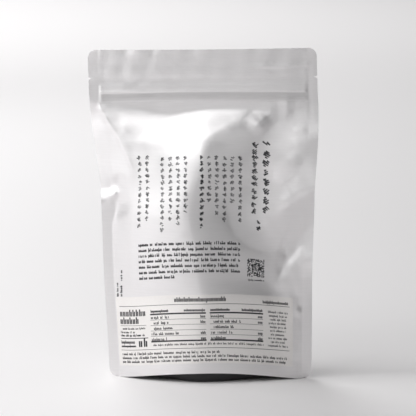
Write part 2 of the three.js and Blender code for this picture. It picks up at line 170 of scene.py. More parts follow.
panelBlend = {  # how far in t a panel's lines are rounded, how wide it is squeezed, and its turn at the toe
    "crest": 2, "leftEdge": 0.8, "others": 5, "squeeze": 14, "knee": 0.1,
}

waves = {  # gentle unevenness of the film in mm; long and down are wave lengths over 2 pi
    "seed": 3, "turn": 6.3,
    "header": {
        "high": 0.55, "count": 5, "long": (1.8, 5), "lean": (0, 0.35),
        "mouth": (7, 0), "below": 0.5, "rise": (2, 7), "fall": (22, 13),
    },
    "body": {"high": 0.09, "count": 7, "long": (4, 11), "down": (5, 14), "rise": (40, 60), "foot": (0, 10)},
}

grid = {
    "across": 148, "sealSteps": 3, "sealLine": 0.5,  # columns on the panel, and on a seal past a narrow one
    "down": ((5, 22, 20), (22, 34, 34), (34, 56, 30), (56, 198, 156)),  # rows of header, zip, shoulder, body
    "cornerPoints": 7, "notchPoints": (-1.0, -0.5, 0.0, 0.5, 1.0), "notchClear": 1.1,
}


def ease(start, end, value):
    # 3q^2 - 2q^3, where q is the share of the way from start to end
    share = np.clip((value - start) / (end - start), 0, 1)
    return share * share * (3 - 2 * share)


def alongLine(points, value, soft=0.0):
    # straight between the points, or with soft the mean over that much either side, which rounds the corners
    at, held = zip(*points)
    if not soft:
        return np.interp(value, at, held)
    return sum(np.interp(value + k * soft, at, held) for k in (-1, -0.5, 0, 0.5, 1)) / 5


def alongCrease(held, travelled):
    # a plain number, or numbers spaced evenly along the line and eased from each to the next
    if np.isscalar(held):
        return held
    at = travelled * (len(held) - 1)
    step = np.minimum(np.floor(at), len(held) - 2).astype(int)
    held = np.array(held, float)
    return held[step] + (held[step + 1] - held[step]) * ease(0, 1, at - step)


def creaseHeight(s, t, crease):
    # high * (1 - d / w)^1.4: d is the distance from the line past a rounded crest, and w is how far that side
    # reaches. Left and right are as one travels along the line, and the reach turns from one to the other
    # round its ends. Neighbouring stretches of the line are blended where they are about as near
    line = np.array(crease["line"], float)
    runs = line[1:] - line[:-1]
    lengths = np.hypot(*runs.T)
    starts = np.concatenate([[0], np.cumsum(lengths)]) / lengths.sum()
    away, turn, travel = [], [], []
    for start, run, length, first, last in zip(line, runs, lengths, starts, starts[1:]):
        share = np.clip(((s - start[0]) * run[0] + (t - start[1]) * run[1]) / length**2, 0, 1)
        away.append(np.hypot(s - start[0] - share * run[0], t - start[1] - share * run[1]))
        leftward = ((s - start[0]) * run[1] - (t - start[1]) * run[0]) / length
        turn.append(leftward / np.maximum(away[-1], 0.001))
        travel.append(first + (last - first) * share)
    nearest = np.min(away, 0)
    weight = np.exp((nearest - away) / creaseForm["blend"])
    weight /= weight.sum(0)
    ratio, travelled = (weight * turn).sum(0), (weight * travel).sum(0)
    left, right = alongCrease(crease["left"], travelled), alongCrease(crease["right"], travelled)
    reach = (left + right) / 2 + (left - right) / 2 * np.clip(ratio, -1, 1)
    crest = crease.get("soft", creaseForm["soft"]) * np.minimum(left, right)
    distance = np.hypot(nearest, crest) - crest
    return alongCrease(crease["high"], travelled) * np.maximum(1 - distance / reach, 0) ** creaseForm["power"]


def sealPuckers(spec):
    # short level creases that run in from each side seal, at random places and sizes from a fixed seed
    rng = np.random.default_rng(spec["seed"])
    slant, span = puckerForm["slant"], spec["to"] - spec["from"]
    creases = []
    for side in (-1, 1):
        for k in range(spec["count"]):
            t = spec["from"] + span * (k + rng.uniform(*puckerForm["jitter"])) / spec["count"]
            long, high, wide = (rng.uniform(*spec[name]) for name in ("long", "high", "wide"))
            line = ((side * panelHalf, t), (side * (panelHalf - long), t + rng.uniform(-slant, slant) * long))
            high *= rng.choice((-1, 1))
            creases.append({
                "line": line, "high": (high, high, 0),
                "left": puckerForm["left"] * wide, "right": puckerForm["right"] * wide,
            })
    return creases


def filmWaves(s, t):
    # means of sines of s and t with seeded random phases: leaning ripples in the header, swells in the body
    rng = np.random.default_rng(waves["seed"])
    header, body, turn = waves["header"], waves["body"], waves["turn"]
    ripples = sum(
        np.sin(s / rng.uniform(*header["long"]) + t * rng.uniform(*header["lean"]) + rng.uniform(0, turn))
        for _ in range(header["count"])
    ) / header["count"]
    swells = sum(
        np.sin(s / rng.uniform(*body["long"]) * rng.choice((-1, 1)) + t / rng.uniform(*body["down"])
            + rng.uniform(0, turn))
        for _ in range(body["count"])
    ) / body["count"]
    below = header["below"] * ease(*header["rise"], t) * ease(*header["fall"], t)
    inHeader = below + ease(*header["mouth"], t)
    return header["high"] * ripples * inHeader, body["high"] * swells * ease(*body["rise"], t)


def halfWidth(up):
    plain = film["footHalf"] + film["taper"] * up
    return plain + (film["width"] / 2 - plain) * ease(*film["flare"], up)


def edgeCut(t):
    # how far the side edges stand in from the film's full width, at its rounded corners and its tear notches
    radius, notch = film["cornerRadius"], film["notch"]
    fromEnd = np.minimum(np.minimum(t, film["height"] - t), radius)
    cut = radius - np.sqrt(np.maximum(radius**2 - (radius - fromEnd) ** 2, 0))
    return cut + notch["deep"] * np.maximum(0, 1 - np.abs(t - notch["t"]) / notch["half"])


def panelDepth(s, t, panel):
    # rise * (1 - exp(-b / run)) + spread * b, with b the distance below the shoulder, softened at its start
    below = np.maximum(t - alongLine(film["shoulder"], s, film["shoulderBlend"]), 0)
    below = below * below / (below + film["shoulderSoft"])
    return panel["rise"] * (1 - np.exp(-below / panel["run"])) + panel["spread"] * below


def crossShare(s, t, panel):
    # 1 on the crest line and 0 at the seals: the fall is a rounded power of the share q of the way down. At
    # the right it is nearly done by the toe line, and the rest of the film slopes gently to the seal. Beside
    # the tuck, where the left edge comes in from the seal, the film is squeezed together
    soft, knee = panelBlend["others"], panelBlend["knee"]
    crest = alongLine(panel["crest"], t, panelBlend["crest"])
    onRight = s > crest
    edge = alongLine(panel["leftEdge"], t, panelBlend["leftEdge"])
    s = s - (edge + panelHalf) * ease(edge + panelBlend["squeeze"], edge, s)
    q = np.clip((s - crest) / (np.where(onRight, panelHalf, -panelHalf) - crest), 0, 1)
    toe = (alongLine(panel["toe"], t, soft) - crest) / (panelHalf - crest)
    rest = np.where(onRight, alongLine(panel["toeRest"], t, soft), 0)
    power = np.where(onRight, alongLine(panel["power"], t, soft), alongLine(panel["powerLeft"], t, soft))
    small = alongLine(panel["round"], t, soft)

    def bent(share):
        # falls at an even rate as far as the toe and then hardly any more
        return 1 - knee * np.log1p(np.exp((1 - share / toe) / knee))

    def rounded(share):
        return (share**2 + small**2) ** (power / 2) - small**power

    fall = rounded(np.where(onRight, np.clip(bent(q) / bent(1), 0, 1), q)) / rounded(1)
    return 1 - (1 - rest) * fall - rest * q


def zipRelief(t):
    # how proud the header film, the zip strip and its ridges stand
    puff = zipStrip["puff"]
    relief = zipStrip["proud"] * (ease(*zipStrip["top"], t) - ease(*zipStrip["foot"], t))
    for ridge, proud, half in zipStrip["ridges"]:
        relief = relief + proud * ease(half, 0, np.abs(t - ridge))
    opens = ease(puff["top"], puff["top"] + puff["rim"], t)
    shuts = ease(puff["foot"], puff["foot"] - puff["rim"], t)
    return relief + puff["proud"] * opens * shuts


def middlePlane(s, t, x, z):
    # y of the plane between the two panels: its mouth's ends and its side seals are bent back
    bow = film["bow"]
    side = x / (film["width"] / 2)
    bent = np.where(side < 0, bow["left"], bow["right"]) * side**2 * ease(bow["low"], bow["high"], z)
    beyond = np.maximum(np.abs(s) - panelHalf + sealTilt["reach"], 0)
    left = alongLine(sealTilt["left"], t, sealTilt["leftBlend"])
    right = alongLine(sealTilt["right"], t, sealTilt["rightBlend"])
    return bent + np.where(s < 0, left, right) * beyond**2 / (beyond + sealTilt["bend"])


def filmPoint(s, t, panel, plain=False):
    # the place in millimetres of film at s and t, before the whole pouch is centred over the origin. Plain
    # film has no creases, puckers or waves
    up = film["height"] - t
    depth = panelDepth(s, t, panel)
    share = np.clip(s / panelHalf, -1, 1)
    aside = share * (1 + film["push"] * depth * (1 - share * share))
    inside = 1 - aside * aside
    sealed = np.maximum(np.abs(s) - panelHalf, 0) / film["sideSeal"]
    leaning = -sum(left * ease(low, high, up) for left, low, high in film["leans"])
    seal = np.sign(s) * sealed * (film["sideSeal"] - edgeCut(t))
    x = leaning + (halfWidth(up) - film["sideSeal"]) * aside + seal

    lift = film["lift"]
    below = np.maximum(t - lift["from"], 0)
    drawn = lift["high"] * (1 - np.exp(-below / lift["run"])) + lift["spread"] * below
    raised = lift["zip"] * ease(*lift["zipSpan"], t) + drawn
    skew, low, high = film["skew"]
    z = up + skew * aside * ease(low, high, up) + raised * inside ** lift["power"]

    pocket = ease(0, sealEdge["pocket"], inside)
    out = depth * crossShare(s, t, panel) + pocket * zipRelief(t)
    middle = middlePlane(s, t, x, z)
    if not plain:
        # a front crease lifts the film off the contents, and where it reaches a seal it bends both panels
        slack = ease(*creaseForm["fadeUp"], up)
        lifted = ease(0, sealEdge["creases"], inside)
        bend = sum(slack * creaseHeight(s, t, crease) for crease in frontPanel["creases"])
        bend = bend * ease(*creaseForm["fadeDown"], t)
        middle = middle - bend * (1 - lifted)
        if panel is frontPanel:
            out = out + lifted * bend
        else:
            out = out + lifted * sum(slack * creaseHeight(s, t, crease) for crease in panel["creases"])
        for crease in sealPuckers(panel["puckers"]):
            out = out + slack * ease(0, sealEdge["puckers"], inside) * creaseHeight(s, t, crease)
        headerWave, bodyWave = filmWaves(s, t)
        middle = middle + pocket * headerWave
        out = out + pocket * bodyWave * ease(*waves["body"]["foot"], up)
    soft = sealEdge["soft"] * ease(*sealEdge["softFrom"], t) * ease(*sealEdge["softNear"], s)
    out = np.hypot(np.maximum(out, 0), soft) - soft
    y = middle + panel["side"] * (out + film["weld"] / 2)
    return np.stack([x, y, z], -1)


def spacedOut(*stretches):
    # stations along a line: each stretch is (start, end, steps), and stretches share their ends
    return np.unique(np.concatenate([np.linspace(start, end, steps + 1) for start, end, steps in stretches]))


def filmStations():
    # the columns' s and the rows' t, close together where the film turns sharply
    weld = panelHalf + grid["sealLine"]
    right = ((panelHalf, weld, 1), (weld, film["width"] / 2, grid["sealSteps"]))
    left = ((-end, -start, steps) for start, end, steps in right)
    columns = spacedOut(*left, (-panelHalf, panelHalf, grid["across"]), *right)
    notch = film["notch"]
    corner = film["cornerRadius"] * (1 - np.cos(np.linspace(0, math.pi / 2, grid["cornerPoints"])))
    rows = np.concatenate([corner[:-1], spacedOut(*grid["down"]), (film["height"] - corner)[::-1][1:]])
    rows = rows[np.abs(rows - notch["t"]) > grid["notchClear"]]
    notched = notch["t"] + notch["half"] * np.array(grid["notchPoints"])
    return columns, np.sort(np.concatenate([rows, notched]))


across, down = filmStations()
flatS, flatT = np.meshgrid(across, down)
frontFilm = filmPoint(flatS, flatT, frontPanel)
backFilm = filmPoint(flatS, flatT, backPanel)
plainFront = filmPoint(flatS, flatT, frontPanel, plain=True)
plainBack = filmPoint(flatS, flatT, backPanel, plain=True)
bodyLow, bodyHigh = (np.array(corner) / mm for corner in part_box("pouch_body"))
centring = np.array([  # from the plain film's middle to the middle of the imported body
    (bodyLow[0] + bodyHigh[0]) / 2 - (plainFront[..., 0].min() + plainFront[..., 0].max()) / 2,
    (bodyLow[1] + bodyHigh[1]) / 2 - (plainFront[..., 1].min() + plainBack[..., 1].max()) / 2,
    0,
])
frontFilm = frontFilm + centring
backFilm = backFilm + centring
print("film worked out:", frontFilm.shape[:2], "points a panel")


def surfaceNormals(points):
    # the cross product of the steps down and across, which faces out of the front panel
    normal = np.cross(np.gradient(points, axis=0), np.gradient(points, axis=1))
    return normal / np.linalg.norm(normal, axis=-1, keepdims=True)


frontNormals = surfaceNormals(frontFilm)


def onFilm(s, t, proud):
    # the point of the front film at s and t, between its four nearest mesh points, moved out along the normal
    s, t, proud = np.broadcast_arrays(s, t, proud)
    i = np.clip(np.searchsorted(across, s) - 1, 0, len(across) - 2)
    j = np.clip(np.searchsorted(down, t) - 1, 0, len(down) - 2)
    u = ((s - across[i]) / (across[i + 1] - across[i]))[..., None]
    v = ((t - down[j]) / (down[j + 1] - down[j]))[..., None]

    def between(field):
        upper = field[j, i] * (1 - u) + field[j, i + 1] * u
        lower = field[j + 1, i] * (1 - u) + field[j + 1, i + 1] * u
        return upper * (1 - v) + lower * v

    return between(frontFilm) + between(frontNormals) * proud[..., None]


def quads(index, flipped=False):
    # the faces between neighbouring rows and columns of a grid of point numbers
    a, b, c, d = index[:-1, :-1], index[1:, :-1], index[1:, 1:], index[:-1, 1:]
    faces = np.stack([a, d, c, b] if flipped else [a, b, c, d], -1)
    return faces.reshape(-1, 4)


rimAngle = math.radians(50)


def makePiece(name, points, faces, material, replaced=None, smooth=True):
    # smooth but for its rims, which stay sharp
    mesh = bpy.data.meshes.new(name)
    mesh.from_pydata((points * mm).tolist(), [], [list(map(int, face)) for face in faces])
    mesh.polygons.foreach_set("use_smooth", np.full(len(mesh.polygons), smooth))
    mesh.materials.append(material)
    mesh.update()
    mesh.set_sharp_from_angle(angle=rimAngle)
    piece = bpy.data.objects.new(name, mesh)
    scene.collection.objects.link(piece)
    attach(piece, "root")
    if replaced:
        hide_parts(replaced)
    return piece


gusset = {
    "sealDeep": 4.5, "opens": (1, 8),  # the body's underside rises this far where its feet are this far apart
    "reach": 55.0, "gap": 0.3, "clear": 0.55, "steps": 18,
    "roll": 5.0,  # from skirt to ground in the middle
    "groundHalf": 36.0, "groundPower": 1.5,  # the oval it rests on, pointed at its ends
    "keelHalf": 0.6, "keelRise": 2.0, "keelEnd": 59.0,  # past the oval it curves up towards the side seals
    "folds": {"high": 0.35, "long": (3.1, 7.7)},
}


def recessTop(front, back):
    # height of the body's underside between the two feet, and how open the feet are there, from 0 to 1
    isOpen = ease(*gusset["opens"], back[:, 1] - front[:, 1])
    return (front[:, 2] + back[:, 2]) / 2 + gusset["sealDeep"] * isOpen, isOpen


def underside(front, back):
    # five rows of points between the feet: where these are open, at the recess's edges, the tops of its
    # walls and its middle, and where they meet, evenly spaced
    top, isOpen = recessTop(front, back)
    wall = film["weld"] / (back[:, 1] - front[:, 1])
    rows = []
    for k, real in enumerate((wall, wall, 0.5, 1 - wall, 1 - wall)):
        share = (k + 1) / 6 * (1 - isOpen) + real * isOpen
        y = front[:, 1] + (back[:, 1] - front[:, 1]) * share
        rows.append(np.stack([front[:, 0], y, front[:, 2] if k in (0, 4) else top], -1))
    return rows


def makeBody(material):
    between = underside(frontFilm[-1], backFilm[-1])
    rows, columns = flatS.shape
    points = np.concatenate([frontFilm.reshape(-1, 3), backFilm.reshape(-1, 3), *between])
    number = np.arange(len(points))
    size = rows * columns
    front = number[:size].reshape(rows, columns)
    back = number[size : 2 * size].reshape(rows, columns)
    under = np.concatenate([front[-1:], number[2 * size :].reshape(len(between), columns), back[-1:]])
    left, right = np.stack([back[:-1, 0], front[:-1, 0]], 1), np.stack([front[:-1, -1], back[:-1, -1]], 1)
    faces = [quads(front), quads(back, True), quads(np.stack([back[0], front[0]])), quads(under)]
    faces += [quads(left), quads(right)]
    ends = [[back[-2, 0], *under[::-1, 0], front[-2, 0]], [front[-2, -1], *under[:, -1], back[-2, -1]]]
    faces = [*np.concatenate(faces), *ends]
    piece = makePiece("pouch_film", points, faces, material, "pouch_body")
    # painted shade below the zip's ridge: a band, kept on each point, that darkens the film's colour
    shade = zipStrip["shade"]
    belowTop, aboveFoot = ease(*shade["top"], flatT), ease(*shade["foot"][::-1], flatT)
    paintedZipShade = (belowTop * aboveFoot * ease(*shade["ends"][::-1], np.abs(flatS))).ravel()
    held = piece.data.attributes.new("paintedZipShade", "FLOAT", "POINT")
    held.data.foreach_set("value", np.concatenate([paintedZipShade, paintedZipShade, np.zeros(len(between) * columns)]))


def closedSheet(top, bottom):
    # the outer grid, the inner grid and the four rims between them, as points and faces
    rows, columns = top.shape[:2]
    points = np.concatenate([top.reshape(-1, 3), bottom.reshape(-1, 3)])
    outer = np.arange(rows * columns).reshape(rows, columns)
    inner = outer + rows * columns
    rims = [
        quads(np.stack([inner[0], outer[0]])), quads(np.stack([outer[-1], inner[-1]])),
        quads(np.stack([inner[:, 0], outer[:, 0]], 1)), quads(np.stack([outer[:, -1], inner[:, -1]], 1)),
    ]
    return points, np.concatenate([quads(outer), quads(inner, True), *rims])


def makeGusset(material):
    # each section is a quarter ellipse down from the front skirt, the ground, and one up to the back skirt
    front, back = frontFilm[-1], backFilm[-1]
    used = np.abs(across) < gusset["reach"]
    top = recessTop(front, back)[0][used] - gusset["gap"]
    front, back = front[used], back[used]
    place = across[used]
    middle = (front[:, 1] + back[:, 1]) / 2
    ground = np.maximum(1 - (place / gusset["groundHalf"]) ** 2, 0) ** gusset["groundPower"]
    foot = gusset["keelRise"] * ease(gusset["groundHalf"], gusset["keelEnd"], np.abs(place))
    short, long = gusset["folds"]["long"]
    fold = gusset["folds"]["high"] * np.sin(place / short) * np.sin(place / long + 1)
    angle = np.linspace(0, math.pi / 2, gusset["steps"])[:, None]

    def rolled(skirt, sign):
        start = skirt[:, 1] - sign * (film["weld"] + gusset["clear"])
        flat = np.maximum(np.abs(start - middle) - gusset["roll"], gusset["keelHalf"])
        end = middle + sign * (gusset["keelHalf"] + (flat - gusset["keelHalf"]) * ground)
        creased = fold * np.sin(angle) * np.cos(angle) * sign
        y = start + (end - start) * (1 - np.cos(angle)) - creased
        return np.stack([np.broadcast_to(skirt[:, 0], y.shape), y, top + (foot - top) * np.sin(angle)], -1)

    points, faces = closedSheet(rolled(front, -1), rolled(back, 1))
    makePiece("base_film", points, faces, material, "base_gusset")


label = {
    "left": -63.2, "right": 56.8, "top": 153.2, "foot": 195.8, "lift": 0.04, "thick": 0.1,
    "sag": 0.8,  # how much lower it is stuck in its middle than at its ends
    "across": 120, "down": 44,
}


def labelSag(s):
    half = (label["right"] - label["left"]) / 2
    return label["sag"] * (1 - ((s - label["left"]) / half - 1) ** 2)


def onLabel(s, t, proud):
    return onFilm(s, t + labelSag(s), proud)


def makeLabel(material):
    columns = np.linspace(label["left"], label["right"], label["across"])
    s, t = np.meshgrid(columns, np.linspace(label["top"], label["foot"], label["down"]))
    points, faces = closedSheet(onLabel(s, t, label["lift"] + label["thick"]), onLabel(s, t, label["lift"]))
    makePiece("label_sticker", points, faces, material, "label")


# Print: every mark is a flat bar of ink, an array row of its start s and t, its end s and t, and two widths.

dabForm = {  # a row's uprights: half is a share of the pitch, and the other lengths are shares of the height
    "pitch": 0.78, "half": 0.24, "runs": (3, 10), "second": (0.55, 1.0), "pairs": 0.8,
    "low": {"by": 0.35, "often": 0.1}, "tall": {"by": 0.42, "often": 0.3},
}

clusterForm = {  # each dab: place aside and half length as shares of the cluster's size, how often it comes
    "dabs": ((-0.39, 0.28, 0.9), (-0.13, 0.42, 1.0), (0.13, 0.4, 0.95), (0.39, 0.26, 0.8)),
    "lean": (0.3, 0.75), "apart": 0.94, "long": (0.55, 1.1), "shift": 0.1, "wide": (0.8, 1.25), "taper": 0.55,
}

filmPrint = {
    "seed": 7, "proud": 0.03, "thick": 0.04, "cuts": 3,
    "columns": (  # clusters of brushed dabs in columns, each: top, foot, how many, and whether they are heavy
        ((-41.2, 66.2), (-43.7, 111.8), 12, False), ((-36.3, 66.2), (-38.2, 107.5), 11, False),
        ((-26.7, 68.0), (-28.0, 115.2), 13, False), ((-21.8, 68.0), (-22.7, 108.2), 11, False),
        ((-17.0, 67.8), (-17.6, 111.8), 12, False), ((-12.2, 67.8), (-12.9, 104.8), 10, False),
        ((-2.2, 67.4), (-3.0, 113.8), 12, True), ((2.4, 68.0), (1.6, 98.0), 8, False),
        ((6.8, 68.0), (6.2, 106.0), 10, False), ((11.5, 68.2), (10.9, 110.2), 11, False),
        ((16.1, 68.2), (15.5, 98.6), 8, False), ((21.0, 67.8), (20.5, 110.6), 11, False),
        ((32.5, 106.8), (32.3, 114.2), 2, True),
    ),
    "size": 2.8, "heavy": 0.62, "bold": 0.85,
    "headings": (  # larger columns, each: top, foot, how many, size, stroke
        ((37.6, 58.4), (36.9, 103.4), 8, 4.8, 1.25), ((30.2, 59.2), (29.3, 104.4), 11, 3.8, 0.95),
    ),
    "paragraph": {
        "left": -44.1, "right": 21.0, "lastRight": -20.0, "top": 122.7, "pitch": 3.42, "rows": 7,
        "slope": 0.012, "high": 1.45, "heavy": 0.5,
    },
    "code": {"corner": (25.6, 131.6), "size": 11.0, "cells": 19, "dark": 0.5},
    "lines": (  # single rows, each: start, end, height, stroke
        ((26.2, 145.2), (36.6, 145.0), 0.8, 0.26), ((-60.9, 153.0), (-60.6, 144.4), 1.0, 0.4),
        ((-57.8, 153.0), (-57.2, 145.0), 1.3, 0.5), ((-57.1, 143.2), (-56.8, 136.6), 1.1, 0.42),
    ),
}

labelPrint = {
    "seed": 12, "lift": 0.01, "thick": 0.03, "cuts": 2, "ruleCuts": 60,
    "rules": (  # long rules, each: left end, right end, width
        ((-60.5, 159.0), (54.3, 159.0), 0.28), ((-60.5, 171.0), (-40.5, 171.0), 0.22),
        ((-60.5, 178.9), (-39.5, 178.9), 0.5), ((-61.0, 186.2), (54.3, 186.2), 0.28),
    ),
    "bold": (  # bold rows, each: left, right, foot line, height, stroke
        (-20.8, 12.0, 157.4, 2.0, 0.6), (35.4, 53.2, 158.0, 1.3, 0.4), (-60.6, -40.6, 165.2, 2.9, 0.85),
        (-60.6, -45.8, 169.9, 2.9, 0.85), (-60.6, -49.6, 182.2, 1.4, 0.42), (-60.6, -48.8, 184.4, 1.0, 0.34),
        (-47.2, -39.8, 184.4, 3.7, 1.1),
    ),
    "small": (  # small rows, each: left, right, foot line, height, stroke
        (-58.8, -41.4, 173.4, 0.9, 0.28), (-60.6, -49.0, 175.7, 1.0, 0.38), (-60.6, -42.0, 177.7, 1.0, 0.4),
        (-36.0, 36.2, 184.2, 1.0, 0.28), (-60.2, 7.4, 189.4, 1.2, 0.36), (-60.2, 52.4, 191.9, 1.2, 0.36),
        (-60.2, 52.4, 194.3, 1.2, 0.36),
    ),
    "tables": ((-37.4, -0.7), (1.7, 35.7)),  # each: left, right
    "table": {
        "head": 163.4, "headLeft": 12.5, "headRight": 14, "headHigh": 0.9,  # the two bold heads over a table
        "top": 164.5, "pitch": 3.38, "rows": 5, "thick": 0.95, "thin": 0.2, "ruleDrop": 0.1, "inset": 0.4,
        "footLine": 0.85, "high": 1.3, "heavy": 0.4, "indent": 2.2, "indented": (1, 2), "name": (9, 19),
        "amount": 3.6, "noAmount": 2,
    },
    "aside": {
        "left": 38.6, "right": 53.4, "top": 163.6, "pitch": 2.3, "rows": 10, "high": 1.0, "heavy": 0.28,
        "inset": (0.3, 3),
    },
}


def rule(start, end, heavy):
    return np.array([[*start, *end, heavy, heavy]], float)


def dabRow(rng, start, end, high, heavy, solid=False):
    # a row of upright dabs in uneven runs, some taller or lower than the rest; solid rows have neither gaps
    # nor single dabs
    start, end = np.array(start, float), np.array(end, float)
    long = np.hypot(*(end - start))
    onward = (end - start) / long
    upward = np.array([onward[1], -onward[0]])
    pitch = high * dabForm["pitch"]
    count = max(int(long / pitch), 1)
    middle = (np.arange(count) + 0.5) * long / count
    breaks = np.cumsum(rng.integers(*dabForm["runs"], count))
    middle = middle[solid | ~np.isin(np.arange(count), breaks)]
    count = len(middle)
    low, tall = dabForm["low"], dabForm["tall"]
    foot = -low["by"] * high * (rng.random(count) < low["often"])
    top = high * (1 + tall["by"] * (rng.random(count) < tall["often"]))
    second = high * rng.uniform(*dabForm["second"], count)
    half = pitch * dabForm["half"]
    pairs = solid | (rng.random(count) < dabForm["pairs"])
    uprights = np.stack([middle - half, foot, middle - half, top], -1)
    seconds = np.stack([middle + half, 0 * foot, middle + half, np.where(solid, high, second)], -1)[pairs]
    placed = np.concatenate([uprights, seconds])
    heads = start + placed[:, :1] * onward + placed[:, 1:2] * upward
    tails = start + placed[:, 2:3] * onward + placed[:, 3:] * upward
    return np.concatenate([heads, tails, np.full((len(heads), 2), heavy)], -1)


def dabColumn(rng, start, end, count, size, heavy):
    # clusters of brushed dabs one under another; the dabs of a cluster lean alike and stay apart, and taper
    start, end = np.array(start, float), np.array(end, float)
    centre = start + (end - start) * (np.arange(count)[:, None] + 0.5) / count
    lean = rng.choice((-1, 1), count) * rng.uniform(*clusterForm["lean"], count)
    onward = np.stack([np.cos(lean), np.sin(lean)], -1)
    aside = np.stack([-np.sin(lean), np.cos(lean)], -1)
    rows = []
    for place, reach, often in clusterForm["dabs"]:
        long = reach * size * rng.uniform(*clusterForm["long"], count)
        shift = size * rng.normal(0, clusterForm["shift"], count)
        middle = centre + aside * place * size * clusterForm["apart"] + onward * shift[:, None]
        half = onward * long[:, None]
        wide = heavy * rng.uniform(*clusterForm["wide"], count)[:, None]
        row = np.concatenate([middle - half, middle + half, wide, wide * clusterForm["taper"]], -1)
        rows.append(row[rng.random(count) < often])
    return np.concatenate(rows)


def codePatch(rng, corner, size, cells, dark):
    # a square of small dark cells at random, in rows, each run of neighbours one bar
    cell = size / cells
    filled = rng.random((cells, cells)) < dark
    change = np.diff(np.pad(filled, ((0, 0), (1, 1))).astype(int), axis=1)
    row, first = np.nonzero(change == 1)
    last = np.nonzero(change == -1)[1]
    level = corner[1] + (row + 0.5) * cell
    wide = np.full(len(row), cell)
    return np.stack([corner[0] + first * cell, level, corner[0] + last * cell, level, wide, wide], -1)


def inkPiece(name, strokes, cuts, proud, thick, material, placed):
    # each bar is cut into equal lengths so that it follows the film, and closed all round
    onward = strokes[:, 2:4] - strokes[:, :2]
    aside = np.stack([-onward[:, 1], onward[:, 0]], -1) / np.hypot(*onward.T)[:, None]
    share = np.linspace(0, 1, cuts + 1)
    centre = strokes[:, None, :2] + onward[:, None] * share[:, None]
    half = (strokes[:, 4:5] + (strokes[:, 5:] - strokes[:, 4:5]) * share) / 2
    low, high = (centre + sign * aside[:, None] * half[..., None] for sign in (-1, 1))
    corners = ((low, proud), (high, proud), (high, proud + thick), (low, proud + thick))
    points = np.stack([placed(*edge.transpose(2, 0, 1), height) for edge, height in corners], 2)
    number = np.arange(points[..., 0].size).reshape(points.shape[:3])
    after = np.roll(number, -1, 2)
    sides = np.stack([after[:, :-1], number[:, :-1], number[:, 1:], after[:, 1:]], -1).reshape(-1, 4)
    faces = np.concatenate([number[:, 0], number[:, -1, ::-1], sides])
    makePiece(name, points.reshape(-1, 3), faces, material, smooth=False)


def makeFilmPrint(material):
    spec = filmPrint
    rng = np.random.default_rng(spec["seed"])
    rows = [
        dabColumn(rng, top, foot, count, spec["size"], spec["bold" if bold else "heavy"])
        for top, foot, count, bold in spec["columns"]
    ]
    rows += [dabColumn(rng, *heading) for heading in spec["headings"]]
    block = spec["paragraph"]
    for k in range(block["rows"]):
        t = block["top"] + k * block["pitch"]
        right = block["right"] if k < block["rows"] - 1 else block["lastRight"]
        drop = block["slope"] * (right - block["left"])
        rows.append(dabRow(rng, (block["left"], t), (right, t + drop), block["high"], block["heavy"]))
    rows.append(codePatch(rng, **spec["code"]))
    rows += [dabRow(rng, *line) for line in spec["lines"]]
    inkPiece("film_print", np.concatenate(rows), spec["cuts"], spec["proud"], spec["thick"], material, onFilm)


def tablePrint(rng, table, left, right):
    # two heads, a thick rule above and below, and rows of a name and an amount with thin rules between them
    high, heavy, inset = table["high"], table["heavy"], table["inset"]

    def words(start, end, t, high, solid=False):
        return dabRow(rng, (start, t), (end, t), high, heavy, solid)

    headHigh = high * table["headHigh"]
    rows = [
        words(left + inset, left + table["headLeft"], table["head"], headHigh, True),
        words(right - table["headRight"], right - inset, table["head"], headHigh, True),
    ]
    foot = table["top"] + table["rows"] * table["pitch"]
    rules = [rule((left, t), (right, t), table["thick"]) for t in (table["top"], foot)]
    for k in range(table["rows"]):
        t = table["top"] + (k + table["footLine"]) * table["pitch"]
        start = left + (table["indent"] if k in table["indented"] else inset)
        rows.append(words(start, start + rng.uniform(*table["name"]), t, high))
        if k != table["noAmount"]:
            rows.append(words(right - table["amount"], right - inset, t, high, True))
        if k:
            line = table["top"] + k * table["pitch"] + table["ruleDrop"]
            rules.append(rule((left, line), (right, line), table["thin"]))
    return rows, rules


def makeLabelPrint(material):
    spec = labelPrint
    rng = np.random.default_rng(spec["seed"])
    rules = [rule(*line) for line in spec["rules"]]
    rows = [
        dabRow(rng, (left, foot), (right, foot), high, heavy, solid)
        for kind, solid in (("bold", True), ("small", False))
        for left, right, foot, high, heavy in spec[kind]
    ]
    for left, right in spec["tables"]:
        tableRows, tableRules = tablePrint(rng, spec["table"], left, right)
        rows += tableRows
        rules += tableRules
    block = spec["aside"]
    for k in range(block["rows"]):
        t = block["top"] + k * block["pitch"]
        inset = rng.uniform(*block["inset"])
        start, end = (block["left"] + inset, t), (block["right"] - inset, t)
        rows.append(dabRow(rng, start, end, block["high"], block["heavy"]))
    proud = label["lift"] + label["thick"] + spec["lift"]
    for name, bars, cuts in (("label_rules", rules, spec["ruleCuts"]), ("label_print", rows, spec["cuts"])):
        inkPiece(name, np.concatenate(bars), cuts, proud, spec["thick"], material, onLabel)


def newMaterial(name):
    material = bpy.data.materials.new(name)
    material.use_nodes = True
    return material, material.node_tree.nodes["Principled BSDF"]


